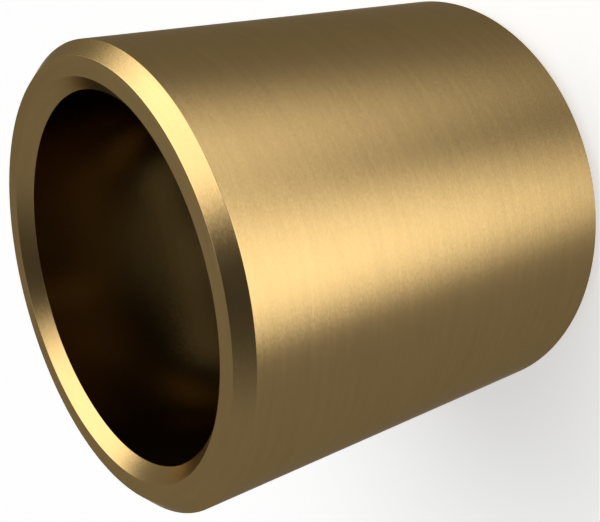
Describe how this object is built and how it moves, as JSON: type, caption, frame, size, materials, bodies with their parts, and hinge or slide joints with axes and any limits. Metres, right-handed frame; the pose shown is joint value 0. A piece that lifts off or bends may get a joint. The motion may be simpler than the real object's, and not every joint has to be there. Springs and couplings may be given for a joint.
{
  "type": "plain bushing",
  "caption": "Plain cylindrical bronze bushing with a through bore and chamfered ends, pressed into a housing so that a shaft can run in it.",
  "frame": {"origin": "centre of the lower end face, on the bore's axis, in the plane that the bushing stands on", "axes": "+Z along the bore's axis, from the end face that it stands on towards the other one; X and Y are alike, because the bushing is round"},
  "size_m": [0.05, 0.05, 0.05],
  "materials": {
    "bronze": "fine turned, satin, with faint marks that run round the axis"
  },
  "bodies": {
    "root": {"bushing": "bronze"}
  },
  "joints": []
}
